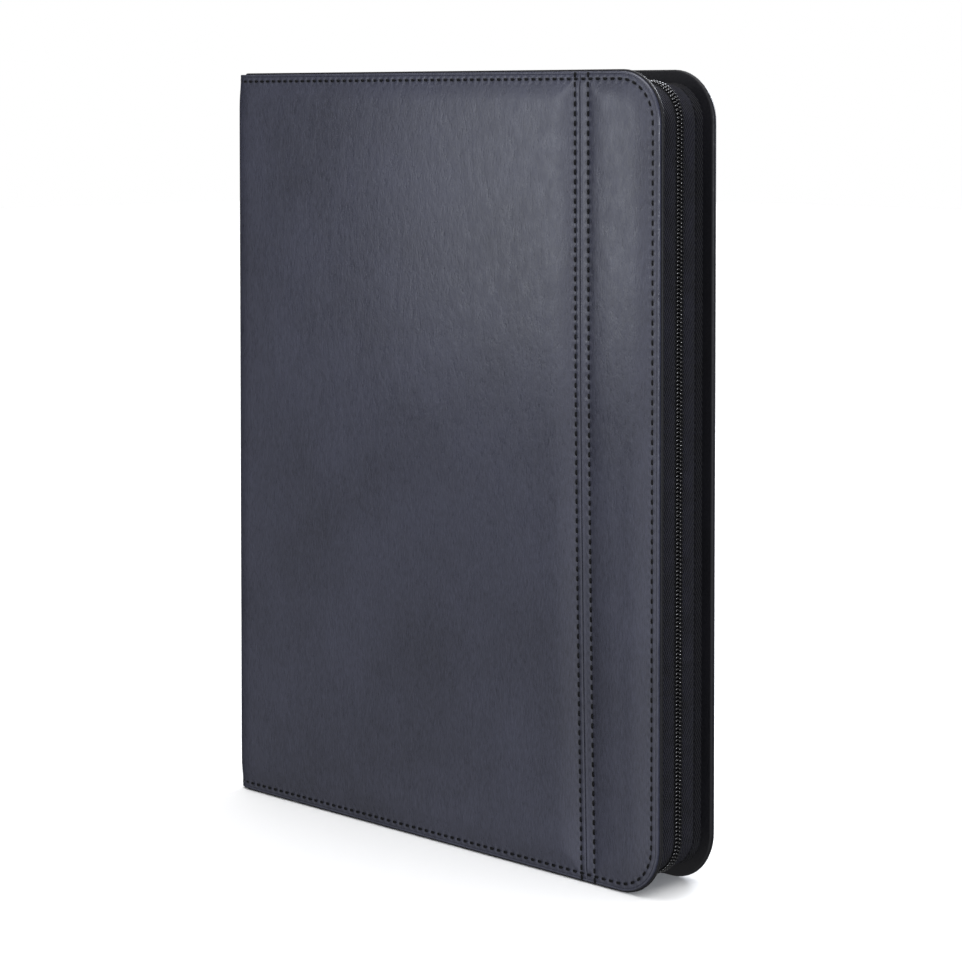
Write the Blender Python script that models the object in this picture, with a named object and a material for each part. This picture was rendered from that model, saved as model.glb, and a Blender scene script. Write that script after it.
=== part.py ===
"""Zip-round trading card binder, standing upright with its front cover facing -Y.

Metres, +Z up. The origin is on the surface it stands on, midway between spine and fore-edge and
midway between the two covers. The spine is at -X. Each moving body has an empty on its joint's
axis, and its pieces are parented to that empty.
"""

import math

import bmesh
import bpy
from mathutils import Vector

# ---- Driving dimensions -------------------------------------------------------------------------
HEIGHT = 0.345
WIDTH = 0.267
DEPTH = 0.040
FORE_RADIUS = 0.022
SPINE_RADIUS = 0.0018
SPINE_STEP = 0.0014
GAP = 0.0003

SKIN = 0.0008
FOAM = 0.0010
BOARD = 0.0014
LINING = 0.0006
SEAM_FROM_FORE_EDGE = 0.0445

ZIP_RECESS = 0.0060
TAPE = 0.0009
TAPE_REACH = 0.0149
GUSSET = 0.0011
GUSSET_NEAR = 0.0100
CHAIN_HALF_WIDTH = 0.0026
CHAIN_SLIT = 0.00075
CHAIN_THICK = 0.0016
SLIDER_PARK_X = -0.117
SLIDER_LENGTH = 0.011
SLIDER_WIDTH = 0.0076
SLIDER_PLATE = 0.0010
SLIDER_NOSE_RADIUS = 0.0030
SLIDER_TAIL_RADIUS = 0.0018
SLIDER_WEB = 0.0009
BAIL_RISE = 0.00175
BAIL_HALF_RUN = 0.0024
BAIL_HALF_WIDTH = 0.0010
BAIL_SHEET = 0.0005
PULL_LENGTH = 0.028
PULL_HALF_WIDTH = 0.0029
PULL_SHEET = 0.0008
PULL_WINDOW_END = 0.0062
PULL_WINDOW_HALF_WIDTH = 0.0014

RING_RADIUS = 0.0093
RING_WIRE = 0.0015
RING_PITCH = 0.108
RING_SEAT = 0.0136
RING_SWEEP = 130
RING_FOOT_Y = 0.0050
PLATE_LENGTH = 0.300
PLATE_HEIGHT = 0.0058
PLATE_SHEET = 0.0010
PLATE_SHOULDER = 0.0028
PLATE_HALF_WIDTHS = (0.0120, 0.0116, 0.0085)
SLOT_Y = (0.0030, 0.0095)
SLOT_HALF_HEIGHT = 0.0023
RIVET_FROM_END = 0.009
RIVET_HEAD = 0.0036
RIVET_SHANK = 0.0020
RIVET_CROWN = 0.0012
RIVET_HOLE = 0.0023
BLADE = 0.0008
BLADE_LENGTH = 0.265
BLADE_EDGE_Y = 0.0095
BLADE_ABOVE_SPINE = 0.0023
LEVER_OUT = 0.0012
LEVER_SHEET = 0.0012
LEVER_HALF_WIDTH = 0.0065

LEAF_WIDTH = 0.228
LEAF_HEIGHT = 0.290
LEAF_THICK = 0.00075
LEAF_PITCH = 0.00115
LEAVES_PER_SIDE = 4
LEAF_HOLE = 0.0043
LEAF_HOLE_EDGE = 0.0065
LEAF_CORNER = 0.004
LEAF_CLEAR = 0.0001

# ---- Places worked out from them ----------------------------------------------------------------
SPINE_X = -WIDTH / 2
FORE_X = WIDTH / 2
FACE_Y = DEPTH / 2
COVER_X = SPINE_X + SKIN + GAP
COVER_THICK = SKIN + FOAM + BOARD + LINING + 3 * GAP
INNER_Y = FACE_Y - COVER_THICK
SPINE_INNER_X = COVER_X + BOARD + GAP + LINING
SPINE_HALF = INNER_Y - GAP
SEAM_X = FORE_X - SEAM_FROM_FORE_EDGE
MID_Z = HEIGHT / 2
PLATE_X = SPINE_INNER_X + GAP
PLATE_TOP_X = PLATE_X + PLATE_HEIGHT
RING_X = SPINE_INNER_X + RING_SEAT
RING_ZS = [MID_Z - RING_PITCH, MID_Z, MID_Z + RING_PITCH]
RING_NAMES = ["bottom", "middle", "top"]
BLADE_X = PLATE_X + BLADE_ABOVE_SPINE
LEAF_HOLE_X = RING_X + RING_RADIUS
LEAF_X = LEAF_HOLE_X - LEAF_HOLE_EDGE
TAPE_Z = HEIGHT - ZIP_RECESS
SLIDER_TOP_Z = TAPE_Z + GAP + CHAIN_THICK + GAP
PULL_Z = SLIDER_TOP_Z + SLIDER_PLATE + PULL_SHEET

FLAT_ON_XZ = (math.pi / 2, 0, 0)
FLAT_ON_XY = (0, 0, 0)


# ---- Scene and materials ------------------------------------------------------------------------
def clear_scene():
    for obj in list(bpy.data.objects):
        bpy.data.objects.remove(obj, do_unlink=True)


def collection(name):
    made = bpy.data.collections.new(name)
    bpy.context.scene.collection.children.link(made)
    return made


def material(name, colour, roughness, metallic=0.0):
    made = bpy.data.materials.new(name)
    made.use_nodes = True
    shader = made.node_tree.nodes["Principled BSDF"]
    shader.inputs["Base Color"].default_value = (*colour, 1.0)
    shader.inputs["Roughness"].default_value = roughness
    shader.inputs["Metallic"].default_value = metallic
    made.diffuse_color = (*colour, 1.0)
    return made


# ---- Outlines: lists of (x, y) in the plane of the sheet ------------------------------------------
def arc(centre, radius, start, stop, steps):
    """Points on an arc, with its angles in degrees."""
    points = []
    for i in range(steps + 1):
        angle = math.radians(start + (stop - start) * i / steps)
        points.append((centre[0] + radius * math.cos(angle), centre[1] + radius * math.sin(angle)))
    return points


def rectangle(x0, x1, z0, z1):
    return [(x0, z0), (x1, z0), (x1, z1), (x0, z1)]


def rounded(x0, x1, z0, z1, left_radius, right_radius, steps=6):
    """A rectangle whose left corners have one radius and right corners another."""
    a, b = left_radius, right_radius
    points = arc((x0 + a, z0 + a), a, 180, 270, steps)
    points += arc((x1 - b, z0 + b), b, 270, 360, steps)
    points += arc((x1 - b, z1 - b), b, 0, 90, steps)
    points += arc((x0 + a, z1 - a), a, 90, 180, steps)
    return points


def cover_outline(inset):
    return rounded(
        COVER_X + inset,
        FORE_X - inset,
        inset,
        HEIGHT - inset,
        max(SPINE_RADIUS - inset, GAP),
        FORE_RADIUS - inset,
    )


def u_path(offset):
    """Round the open sides of the cover at this distance inside its edge, from top to bottom."""
    radius = FORE_RADIUS - offset
    start_x = SPINE_INNER_X + GAP
    points = [(start_x, HEIGHT - offset)]
    points += arc((FORE_X - FORE_RADIUS, HEIGHT - FORE_RADIUS), radius, 90, 0, 6)
    points += arc((FORE_X - FORE_RADIUS, FORE_RADIUS), radius, 0, -90, 6)
    return points + [(start_x, offset)]


def u_strip(outer_offset, inner_offset):
    return u_path(outer_offset) + u_path(inner_offset)[::-1]


def ribbon(path, thickness):
    """The outline of a strip of this thickness that follows an open path."""
    left, right = [], []
    points = [Vector(point) for point in path]
    for i, point in enumerate(points):
        ahead = points[min(i + 1, len(points) - 1)]
        behind = points[max(i - 1, 0)]
        run = (ahead - behind).normalized()
        side = Vector((-run.y, run.x)) * thickness / 2
        left.append(tuple(point + side))
        right.append(tuple(point - side))
    return left + right[::-1]


# ---- Solids ---------------------------------------------------------------------------------------
def as_mesh(curve_object, target):
    """Replaces a curve object with a mesh object of the same name, place and shape."""
    graph = bpy.context.evaluated_depsgraph_get()
    mesh = bpy.data.meshes.new_from_object(curve_object.evaluated_get(graph))
    shape = bmesh.new()
    shape.from_mesh(mesh)
    bmesh.ops.remove_doubles(shape, verts=shape.verts, dist=1e-6)
    bmesh.ops.recalc_face_normals(shape, faces=shape.faces)
    shape.to_mesh(mesh)
    shape.free()
    name = curve_object.name
    world = curve_object.matrix_world.copy()
    bpy.data.objects.remove(curve_object, do_unlink=True)
    made = bpy.data.objects.new(name, mesh)
    made.matrix_world = world
    target.objects.link(made)
    return made


def sheet(name, outlines, plane, low, high, finish, target):
    """A flat outline, with any holes, thickened from low to high along the plane's normal."""
    curve = bpy.data.curves.new(name, "CURVE")
    curve.dimensions = "2D"
    curve.fill_mode = "BOTH"
    curve.extrude = (high - low) / 2
    for outline in outlines:
        spline = curve.splines.new("POLY")
        spline.points.add(len(outline) - 1)
        for point, (a, b) in zip(spline.points, outline):
            point.co = (a, b, 0, 1)
        spline.use_cyclic_u = True
    drawn = bpy.data.objects.new(name, curve)
    middle = (low + high) / 2
    drawn.rotation_euler = plane
    drawn.location = (0, middle, 0) if plane == FLAT_ON_XZ else (0, 0, middle)
    target.objects.link(drawn)
    bpy.context.view_layer.update()
    made = as_mesh(drawn, target)
    made.data.materials.append(finish)
    return made


def wire(name, path, radius, finish, target):
    curve = bpy.data.curves.new(name, "CURVE")
    curve.dimensions = "3D"
    curve.bevel_depth = radius
    curve.bevel_resolution = 2
    curve.use_fill_caps = True
    spline = curve.splines.new("POLY")
    spline.points.add(len(path) - 1)
    for point, place in zip(spline.points, path):
        point.co = (*place, 1)
    drawn = bpy.data.objects.new(name, curve)
    target.objects.link(drawn)
    bpy.context.view_layer.update()
    made = as_mesh(drawn, target)
    made.data.shade_smooth()
    made.data.materials.append(finish)
    return made


def box(name, low, high, target):
    shape = bmesh.new()
    bmesh.ops.create_cube(shape, size=1.0)
    size = [b - a for a, b in zip(low, high)]
    bmesh.ops.scale(shape, vec=size, verts=shape.verts)
    mesh = bpy.data.meshes.new(name)
    shape.to_mesh(mesh)
    shape.free()
    made = bpy.data.objects.new(name, mesh)
    made.location = [(a + b) / 2 for a, b in zip(low, high)]
    target.objects.link(made)
    return made


def boolean(target, tool, operation):
    tool.hide_render = True
    tool.display_type = "WIRE"
    modifier = target.modifiers.new(tool.name, "BOOLEAN")
    modifier.operation = operation
    modifier.object = tool
    modifier.solver = "EXACT"


# ---- Covers ---------------------------------------------------------------------------------------
def side_levels(side, outer, inner):
    """(low, high) along Y of a layer given by its distances from the outer face."""
    ends = (side * (FACE_Y - outer), side * (FACE_Y - inner))
    return min(ends), max(ends)


def cover_skin(name, side, finish, parts, cutters):
    """The leather that wraps the outer face and the edges: a shallow tray open to the inside."""
    low, high = side_levels(side, 0, COVER_THICK)
    tray = sheet(name, [cover_outline(0)], FLAT_ON_XZ, low, high, finish, parts)
    beyond = 0.002
    low, high = side_levels(side, SKIN, COVER_THICK + beyond)
    hollow = sheet(name + "_hollow", [cover_outline(SKIN)], FLAT_ON_XZ, low, high, finish, cutters)
    boolean(tray, hollow, "DIFFERENCE")
    return tray


def cover_layers(word, side, finishes, parts):
    """Foam pad, stiffener board and lining, each inside the tray of the skin."""
    made = []
    depth = SKIN + GAP
    for layer, thickness in (("foam", FOAM), ("board", BOARD), ("lining", LINING)):
        low, high = side_levels(side, depth, depth + thickness)
        outline = [cover_outline(SKIN + GAP)]
        name = f"{word}_{layer}"
        made.append(sheet(name, outline, FLAT_ON_XZ, low, high, finishes[layer], parts))
        depth += thickness + GAP
    return made


def front_skins(finishes, parts, cutters):
    """Two leather panels that meet at the upright seam near the fore-edge."""
    panels = []
    beyond = 0.01
    spans = (
        ("front_skin_main", SEAM_X - GAP / 2, FORE_X + beyond),
        ("front_skin_fore", SPINE_X - beyond, SEAM_X + GAP / 2),
    )
    for name, x0, x1 in spans:
        panel = cover_skin(name, -1, finishes["leather"], parts, cutters)
        low = (x0, -FACE_Y - beyond, -beyond)
        high = (x1, 0, HEIGHT + beyond)
        boolean(panel, box(name + "_trim", low, high, cutters), "DIFFERENCE")
        panels.append(panel)
    return panels


def zip_half(word, side, finishes, parts):
    """Tape, the gusset strip behind its outer edge, and coil, round the three open edges."""
    gusset = ZIP_RECESS + TAPE + GAP
    spans = (
        ("gusset", gusset, gusset + GUSSET, GUSSET_NEAR, SPINE_HALF),
        ("tape", ZIP_RECESS, ZIP_RECESS + TAPE, CHAIN_SLIT + GAP, TAPE_REACH),
        ("coil", ZIP_RECESS - GAP - CHAIN_THICK, ZIP_RECESS - GAP, CHAIN_SLIT, CHAIN_HALF_WIDTH),
    )
    made = []
    for layer, outer, inner, near, far in spans:
        low, high = min(side * near, side * far), max(side * near, side * far)
        outline = [u_strip(outer, inner)]
        made.append(
            sheet(f"{word}_zip_{layer}", outline, FLAT_ON_XZ, low, high, finishes[layer], parts)
        )
    return made


# ---- Spine and ring mechanism -----------------------------------------------------------------------
def spine_pieces(finishes, parts):
    """Leather, stiffener board and lining of the spine, a little shorter than the covers."""
    lining_x = SPINE_INNER_X - LINING
    rows = (
        ("skin", SPINE_X, SPINE_X + SKIN, FACE_Y - GAP, SPINE_STEP, "leather"),
        ("board", COVER_X, COVER_X + BOARD, SPINE_HALF, SPINE_STEP + SKIN, "board"),
        ("lining", lining_x, SPINE_INNER_X, SPINE_HALF, SPINE_STEP, "lining"),
    )
    made = []
    for layer, x0, x1, half, inset, finish in rows:
        outline = [rectangle(x0, x1, -half, half)]
        name = f"spine_{layer}"
        low, high = inset, HEIGHT - inset
        made.append(sheet(name, outline, FLAT_ON_XY, low, high, finishes[finish], parts))
    return made


def base_plate(finishes, parts, cutters):
    """An arched steel plate on the spine, with a slot for each ring foot and a hole at each end."""
    shoulder_x = PLATE_X + PLATE_SHOULDER
    half, waist, crown = PLATE_HALF_WIDTHS
    tuck = 0.0004
    outside = [(PLATE_X, -half), (shoulder_x, -waist), (PLATE_TOP_X, -crown)]
    inside = [
        (PLATE_X, -half + PLATE_SHEET),
        (shoulder_x - tuck, -waist + PLATE_SHEET),
        (PLATE_TOP_X - PLATE_SHEET, -crown + tuck),
    ]
    outline = outside + [(x, -y) for x, y in outside[::-1]]
    outline += [(x, -y) for x, y in inside] + inside[::-1]
    low, high = MID_Z - PLATE_LENGTH / 2, MID_Z + PLATE_LENGTH / 2
    plate = sheet(
        "ring_base_plate", [outline], FLAT_ON_XY, low, high, finishes["steel"], parts
    )
    for side in (-1, 1):
        for name, z in zip(RING_NAMES, RING_ZS):
            ys = sorted(side * y for y in SLOT_Y)
            low = (PLATE_TOP_X - 2.4 * PLATE_SHEET, ys[0], z - SLOT_HALF_HEIGHT)
            high = (PLATE_TOP_X + PLATE_SHEET, ys[1], z + SLOT_HALF_HEIGHT)
            slot = box(f"slot_{name}_{'front' if side < 0 else 'back'}", low, high, cutters)
            boolean(plate, slot, "DIFFERENCE")
    for name, z in rivet_places():
        ends = (PLATE_X - PLATE_SHEET, PLATE_TOP_X + 2 * PLATE_SHEET)
        hole = turned_pin(f"hole_{name}", z, *ends, RIVET_HOLE, cutters)
        boolean(plate, hole, "DIFFERENCE")
    return plate


def rivet_places():
    reach = PLATE_LENGTH / 2 - RIVET_FROM_END
    return (("top", MID_Z + reach), ("bottom", MID_Z - reach))


def turned_pin(name, z, x0, x1, radius, target):
    """A plain round pin along X."""
    shape = bmesh.new()
    bmesh.ops.create_cone(
        shape, cap_ends=True, segments=20, radius1=radius, radius2=radius, depth=x1 - x0
    )
    mesh = bpy.data.meshes.new(name)
    shape.to_mesh(mesh)
    shape.free()
    made = bpy.data.objects.new(name, mesh)
    made.rotation_euler = (0, math.pi / 2, 0)
    made.location = ((x0 + x1) / 2, 0, z)
    target.objects.link(made)
    bpy.context.view_layer.update()
    return made


def rivet(name, z, finish, target):
    """A turned rivet with a domed head on the plate and its shank on the spine lining."""
    seat = PLATE_TOP_X + GAP
    profile = [(0, seat + RIVET_CROWN), (RIVET_HEAD * 0.6, seat + RIVET_CROWN * 0.8)]
    profile += [(RIVET_HEAD, seat + RIVET_CROWN / 6), (RIVET_HEAD, seat), (RIVET_SHANK, seat)]
    profile += [(RIVET_SHANK, PLATE_X), (0, PLATE_X)]
    mesh = bpy.data.meshes.new(name)
    shape = bmesh.new()
    points = [shape.verts.new((radius, 0, x)) for radius, x in profile]
    for a, b in zip(points, points[1:]):
        shape.edges.new((a, b))
    bmesh.ops.spin(
        shape,
        geom=shape.verts[:] + shape.edges[:],
        axis=(0, 0, 1),
        angle=2 * math.pi,
        steps=20,
        use_merge=True,
    )
    bmesh.ops.remove_doubles(shape, verts=shape.verts, dist=1e-6)
    bmesh.ops.recalc_face_normals(shape, faces=shape.faces)
    shape.to_mesh(mesh)
    shape.free()
    mesh.materials.append(finish)
    mesh.shade_smooth()
    made = bpy.data.objects.new(name, mesh)
    made.rotation_euler = (0, math.pi / 2, 0)
    made.location = (0, 0, z)
    target.objects.link(made)
    return made


def ring_path(side, z):
    """From the tip at the ring's fore side, round the ring and down through the plate to the foot."""
    steps = 13
    path = []
    start = math.degrees(math.asin(GAP / 2 / RING_RADIUS))
    for i in range(steps + 1):
        angle = math.radians(start + (RING_SWEEP - start) * i / steps)
        path.append((RING_X + RING_RADIUS * math.cos(angle), side * RING_RADIUS * math.sin(angle)))
    foot_y = side * RING_FOOT_Y
    turn = math.radians(RING_SWEEP)
    entry = Vector(path[-1])
    heading = Vector((-math.sin(turn), side * math.cos(turn)))
    bend = entry + heading * (foot_y - entry.y) / heading.y
    foot = Vector((BLADE_X + BLADE / 2 + GAP, foot_y))
    for i in range(1, 5):
        t = i / 4
        point = entry * (1 - t) ** 2 + bend * 2 * t * (1 - t) + foot * t * t
        path.append((point.x, point.y))
    return [(x, y, z) for x, y in path]


def ring_set(word, side, finishes, parts):
    """One long blade with three ring halves."""
    low, high = MID_Z - BLADE_LENGTH / 2, MID_Z + BLADE_LENGTH / 2
    ys = sorted((side * GAP, side * BLADE_EDGE_Y))
    outline = [rectangle(BLADE_X - BLADE / 2, BLADE_X + BLADE / 2, *ys)]
    made = [
        sheet(f"{word}_ring_blade", outline, FLAT_ON_XY, low, high, finishes["steel"], parts)
    ]
    for name, z in zip(RING_NAMES, RING_ZS):
        path = ring_path(side, z)
        made.append(wire(f"{word}_ring_{name}", path, RING_WIRE, finishes["nickel"], parts))
    return made


def ring_lever(name, side, finishes, parts):
    """A thumb tab that stands up at one end of the plate and curls outwards."""
    end = PLATE_LENGTH / 2
    reach = ((-0.0002, LEVER_OUT), (0.0014, 0.0026), (0.0064, 0.0030), (0.0090, 0.0044), (0.0104, 0.0070))
    path = [(BLADE_X + up, MID_Z + side * (end + out)) for up, out in reach]
    outline = [ribbon(path, LEVER_SHEET)]
    finish = finishes["nickel"]
    return sheet(name, outline, FLAT_ON_XZ, -LEVER_HALF_WIDTH, LEVER_HALF_WIDTH, finish, parts)


# ---- Leaves -----------------------------------------------------------------------------------------
def leaf(name, y, finish, parts):
    """One nine-pocket page: a thin sheet with three ring holes."""
    z0, z1 = MID_Z - LEAF_HEIGHT / 2, MID_Z + LEAF_HEIGHT / 2
    outlines = [rounded(LEAF_X, LEAF_X + LEAF_WIDTH, z0, z1, LEAF_CORNER, LEAF_CORNER, 3)]
    for z in RING_ZS:
        outlines.append(arc((LEAF_HOLE_X, z), LEAF_HOLE, 0, 345, 23))
    low, high = y - LEAF_THICK / 2, y + LEAF_THICK / 2
    return sheet(name, outlines, FLAT_ON_XZ, low, high, finish, parts)


def leaf_offset(rank):
    """Distance of a leaf from the middle plane, with rank 0 next to the middle."""
    return GAP / 2 + LEAF_THICK / 2 + LEAF_CLEAR + rank * LEAF_PITCH


# ---- Zip slider ---------------------------------------------------------------------------------------
def slider(finishes, parts, cutters):
    """Two plates joined by a thin web that runs in the slit between the coils, and a bail on top."""
    x0, x1 = SLIDER_PARK_X - SLIDER_LENGTH / 2, SLIDER_PARK_X + SLIDER_LENGTH / 2
    half = SLIDER_WIDTH / 2
    outline = [rounded(x0, x1, -half, half, SLIDER_NOSE_RADIUS, SLIDER_TAIL_RADIUS, 4)]
    low_top = TAPE_Z - TAPE - GAP
    top_z = SLIDER_TOP_Z + SLIDER_PLATE
    steel = finishes["black_metal"]
    made = sheet("zip_slider", outline, FLAT_ON_XY, SLIDER_TOP_Z, top_z, steel, parts)
    under = sheet(
        "slider_under", outline, FLAT_ON_XY, low_top - SLIDER_PLATE, low_top, steel, cutters
    )
    web_half = SLIDER_WEB / 2
    web = box(
        "slider_web",
        (x0 + SLIDER_NOSE_RADIUS, -web_half, low_top - SLIDER_PLATE / 2),
        (x1 - SLIDER_TAIL_RADIUS, web_half, SLIDER_TOP_Z + SLIDER_PLATE / 2),
        cutters,
    )
    sunk, rise, run = -0.0004, BAIL_RISE, BAIL_HALF_RUN
    reach = [(-run, sunk), (-run, rise * 0.6), (-run * 0.7, rise), (run * 0.7, rise)]
    reach += [(run, rise * 0.6), (run, sunk)]
    path = [(SLIDER_PARK_X + x, top_z + z) for x, z in reach]
    strip = [ribbon(path, BAIL_SHEET)]
    bail = sheet(
        "slider_bail", strip, FLAT_ON_XZ, -BAIL_HALF_WIDTH, BAIL_HALF_WIDTH, steel, cutters
    )
    for tool in (web, under, bail):
        boolean(made, tool, "UNION")
    return made


def pull(finishes, parts):
    """A flat tab with a window whose end bar lies under the slider's bail."""
    bar = PULL_SHEET / 2
    x0, x1 = SLIDER_PARK_X - bar, SLIDER_PARK_X + PULL_LENGTH
    half, window = PULL_HALF_WIDTH, PULL_WINDOW_HALF_WIDTH
    outlines = [rounded(x0, x1, -half, half, 0.2 * half, 0.9 * half, 4)]
    window_end = SLIDER_PARK_X + PULL_WINDOW_END
    outlines.append(rectangle(SLIDER_PARK_X + bar, window_end, -window, window))
    low, high = PULL_Z - bar, PULL_Z + bar
    return sheet("zip_pull", outlines, FLAT_ON_XY, low, high, finishes["black_metal"], parts)


# ---- Bodies -------------------------------------------------------------------------------------------
def body(name, place, parent, target):
    """An empty on a joint's axis, under the body that it moves with."""
    made = bpy.data.objects.new(name, None)
    made.empty_display_size = 0.02
    target.objects.link(made)
    made.location = Vector(place)
    if parent:
        made.parent = parent
        made.matrix_parent_inverse = parent.matrix_world.inverted()
    bpy.context.view_layer.update()
    return made


def attach(pieces, holder):
    bpy.context.view_layer.update()
    for piece in pieces:
        piece.parent = holder
        piece.matrix_parent_inverse = holder.matrix_world.inverted()


def finishes_of_binder():
    return {
        "leather": material("soft_leather", (0.055, 0.058, 0.078), 0.48),
        "foam": material("foam", (0.55, 0.55, 0.52), 0.95),
        "board": material("greyboard", (0.35, 0.33, 0.30), 0.9),
        "lining": material("lining", (0.012, 0.012, 0.016), 0.6),
        "gusset": material("gusset", (0.012, 0.012, 0.016), 0.6),
        "tape": material("zip_tape", (0.013, 0.013, 0.015), 0.85),
        "coil": material("zip_coil", (0.010, 0.010, 0.011), 0.35),
        "steel": material("ring_steel", (0.62, 0.62, 0.64), 0.32, 1.0),
        "nickel": material("ring_nickel", (0.72, 0.72, 0.74), 0.18, 1.0),
        "page": material("pocket_page", (0.030, 0.030, 0.034), 0.35),
        "black_metal": material("slider_metal", (0.02, 0.02, 0.022), 0.35, 1.0),
    }


def build():
    clear_scene()
    parts = collection("trading_card_binder")
    cutters = collection("cutters")
    finishes = finishes_of_binder()

    root = body("back_cover", (0, 0, 0), None, parts)
    spine = body("spine", (SPINE_X, FACE_Y, 0), root, parts)
    front = body("front_cover", (SPINE_X, -FACE_Y, 0), spine, parts)

    back = [cover_skin("back_skin", 1, finishes["leather"], parts, cutters)]
    back += cover_layers("back", 1, finishes, parts) + zip_half("back", 1, finishes, parts)
    attach(back, root)

    attach(front_skins(finishes, parts, cutters), front)
    attach(cover_layers("front", -1, finishes, parts), front)
    attach(zip_half("front", -1, finishes, parts), front)

    attach(spine_pieces(finishes, parts), spine)
    attach([base_plate(finishes, parts, cutters)], spine)
    for name, z in rivet_places():
        attach([rivet(f"rivet_{name}", z, finishes["nickel"], parts)], spine)

    for word, side in (("front", -1), ("back", 1)):
        holder = body(f"{word}_ring_set", (BLADE_X, side * BLADE_EDGE_Y, MID_Z), spine, parts)
        attach(ring_set(word, side, finishes, parts), holder)
        for rank in range(LEAVES_PER_SIDE):
            name = f"leaf_{word}_{LEAVES_PER_SIDE - rank}"
            holder = body(f"{name}_hinge", (RING_X, 0, MID_Z), spine, parts)
            attach([leaf(name, side * leaf_offset(rank), finishes["page"], parts)], holder)

    for name, side in (("lever_top", 1), ("lever_bottom", -1)):
        pivot = (BLADE_X, 0, MID_Z + side * (PLATE_LENGTH / 2 + LEVER_OUT))
        attach([ring_lever(name, side, finishes, parts)], body(f"{name}_pivot", pivot, spine, parts))

    carriage = body("zip_carriage", (SLIDER_PARK_X, 0, PULL_Z), root, parts)
    attach([slider(finishes, parts, cutters)], carriage)
    attach([pull(finishes, parts)], body("pull_pivot", (SLIDER_PARK_X, 0, PULL_Z), carriage, parts))


build()
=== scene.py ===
"""Looks of a padded zip-round binder for trading card pages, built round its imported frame.

Lengths are metres. The binder stands on its lower cover edges with the front cover facing -Y,
the spine at -X and the zip running round the top, the fore-edge at +X and the bottom.
"""

import math

import bmesh
import bpy
from bpy.props import FloatProperty, FloatVectorProperty, IntProperty, PointerProperty
from mathutils import Matrix, Vector, noise


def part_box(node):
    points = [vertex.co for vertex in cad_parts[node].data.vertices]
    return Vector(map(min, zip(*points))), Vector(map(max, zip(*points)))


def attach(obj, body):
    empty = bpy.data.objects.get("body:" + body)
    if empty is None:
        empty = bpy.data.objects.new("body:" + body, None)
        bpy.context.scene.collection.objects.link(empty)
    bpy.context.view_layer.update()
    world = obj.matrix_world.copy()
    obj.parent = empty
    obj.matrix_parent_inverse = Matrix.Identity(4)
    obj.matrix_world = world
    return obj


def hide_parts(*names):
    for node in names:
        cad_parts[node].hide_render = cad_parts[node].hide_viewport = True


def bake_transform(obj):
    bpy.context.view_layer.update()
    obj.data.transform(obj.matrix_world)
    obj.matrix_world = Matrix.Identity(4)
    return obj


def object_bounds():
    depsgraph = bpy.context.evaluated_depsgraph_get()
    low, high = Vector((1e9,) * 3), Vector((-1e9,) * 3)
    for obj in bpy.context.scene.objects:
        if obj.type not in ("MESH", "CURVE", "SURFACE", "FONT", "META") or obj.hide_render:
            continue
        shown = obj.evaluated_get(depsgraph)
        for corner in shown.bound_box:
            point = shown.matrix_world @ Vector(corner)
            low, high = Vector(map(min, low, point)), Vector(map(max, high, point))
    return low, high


bl_info = {
    "name": "Card Binder Looks",
    "version": (1, 0, 0),
    "blender": (4, 5, 0),
    "location": "View3D > Sidebar > Binder",
    "description": "Builds the leather, stitching, zip, rings and pocket leaves of a card binder",
    "category": "Add Mesh",
}

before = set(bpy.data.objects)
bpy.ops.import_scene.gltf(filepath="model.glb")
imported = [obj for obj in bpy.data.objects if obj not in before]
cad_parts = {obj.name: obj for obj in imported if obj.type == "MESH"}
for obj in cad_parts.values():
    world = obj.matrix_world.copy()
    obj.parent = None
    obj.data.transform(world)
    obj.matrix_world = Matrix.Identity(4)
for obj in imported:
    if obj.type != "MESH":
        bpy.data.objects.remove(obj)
CAD_LOW, CAD_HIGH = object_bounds()

MM = 0.001
SPINE_X = CAD_LOW.x
FORE_X = CAD_HIGH.x
FACE_Y = CAD_HIGH.y
HEIGHT = CAD_HIGH.z
MID_Z = HEIGHT / 2
INNER_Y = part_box("back_lining")[0].y
SPINE_INNER_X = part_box("spine_lining")[1].x
TAPE_RECESS = FORE_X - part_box("back_zip_tape")[1].x
COIL_FOOT = FORE_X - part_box("back_zip_coil")[1].x
COVERS = (("front", -1, "front_cover"), ("back", 1, "back_cover"))
# Clearance between pieces of the spine and those beside them.
SPINE_GAP = 0.3 * MM
# How far a stitch's middle stands above the leather at its line.
THREAD_RISE = 0.10 * MM


# ---- Settings ----
def length(name, description, default):
    return FloatProperty(
        name=name, description=description, default=default, min=0.0, unit="LENGTH"
    )


def colour(name, description, default):
    return FloatVectorProperty(
        name=name, description=description, default=default, size=3, min=0, max=1, subtype="COLOR"
    )


class CoverSettings(bpy.types.PropertyGroup):
    fore_radius: length("Fore corner radius", "Radius of the two fore-edge corners", 22 * MM)
    edge_show: length("Edge show", "Black inner cover that shows past the leather", 0.7 * MM)
    leather_edge: length("Leather edge", "Depth of the leather's edge below the face", 2.9 * MM)
    leather_back: length("Leather back", "Depth of the leather's back below the face", 3.3 * MM)
    inner_top: length("Inner cover top", "Depth of the inner cover's outer face", 2.75 * MM)
    roll_width: length("Roll width", "How far the leather rolls over to the spine", 11 * MM)
    roll_depth: length("Roll depth", "Depth of that roll along the thickness", 4.2 * MM)
    flap_reach: length("Flap reach", "Leather on the spine, measured from the face", 5.6 * MM)
    seam_from_edge: length("Seam place", "Seam's distance from the fore-edge", 44.5 * MM)
    seam_lean: length("Seam lean", "Seam's drift to the fore-edge at its foot", 4.6 * MM)
    spine_step: length("Spine step", "How much lower the spine's ends are", 1.3 * MM)
    leather_colour: colour("Leather", "Colour of the outer leather", (0.0300, 0.0320, 0.0500))
    lining_colour: colour("Lining", "Colour of the inner cover", (0.0028, 0.0028, 0.0045))


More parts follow.
